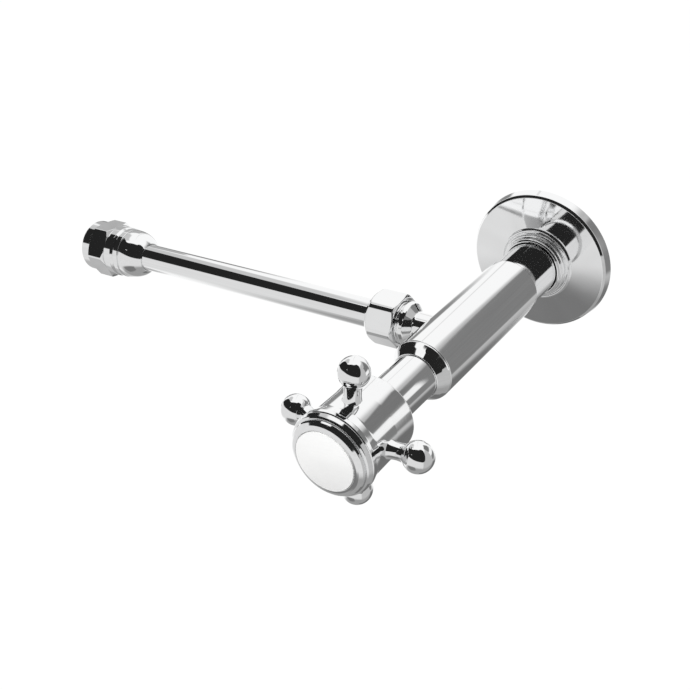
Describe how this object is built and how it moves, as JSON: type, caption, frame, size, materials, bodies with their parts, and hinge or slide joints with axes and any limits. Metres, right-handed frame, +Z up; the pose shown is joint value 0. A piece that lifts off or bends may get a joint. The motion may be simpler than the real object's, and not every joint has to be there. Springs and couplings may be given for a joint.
{
  "type": "cistern isolation valve",
  "caption": "Wall-mounted isolation valve with a cross handle, a sliding wall flange and a side tube that ends in a captive union nut.",
  "frame": {"origin": "centre of the inlet pipe at the face of the finished wall", "axes": "+Y along the inlet pipe into the wall, +Z up, the side tube leaves towards -X and the handle faces -Y"},
  "size_m": [0.1876, 0.1496, 0.0516],
  "materials": {
    "chrome": "polished chrome plate",
    "ceramic": "white glazed ceramic",
    "brass": "turned brass, unplated",
    "steel": "stainless steel",
    "rubber": "moulded rubber",
    "fibre": "red fibre sheet"
  },
  "bodies": {
    "valve": {"inlet_tail": "chrome", "valve_body": "chrome", "outlet_spigot": "chrome", "bonnet": "brass", "bonnet_washer": "fibre", "body_cap": "chrome", "headwork_shroud": "chrome", "supply_tube": "chrome", "olive": "brass", "compression_nut": "chrome", "tail_cap": "chrome", "union_circlip": "steel", "union_washer": "fibre"},
    "handle": {"handle_hub": "chrome", "handle_arm_1": "chrome", "handle_arm_2": "chrome", "handle_arm_3": "chrome", "handle_arm_4": "chrome", "index_cap": "chrome", "ceramic_index": "ceramic", "index_o_ring": "rubber", "handle_screw": "steel", "handle_screw_washer": "steel", "spindle": "brass", "spindle_o_rings": "rubber", "spindle_circlip": "steel"},
    "jumper": {"jumper": "brass", "jumper_washer": "rubber", "jumper_nut": "brass"},
    "flange": {"wall_flange": "chrome", "flange_o_ring": "rubber"},
    "union": {"union_nut": "chrome"}
  },
  "joints": [
    {"name": "handle_turn", "type": "hinge", "parent": "valve", "child": "handle", "pos_m": [0, -0.121, 0], "axis": [0, -1, 0], "range_deg": [0, 864]},
    {"name": "jumper_lift", "type": "slide", "parent": "valve", "child": "jumper", "axis": [0, -1, 0], "range_m": [0, 0.0037]},
    {"name": "flange_slide", "type": "slide", "parent": "valve", "child": "flange", "axis": [0, -1, 0], "range_m": [0, 0.014]},
    {"name": "union_nut_spin", "type": "hinge", "parent": "valve", "child": "union", "pos_m": [-0.154, -0.061, 0], "axis": [-1, 0, 0], "continuous": true}
  ],
  "couplings": [
    {"joint": "jumper_lift", "follows": "handle_turn", "m_per_rad": 0.00023873}
  ]
}
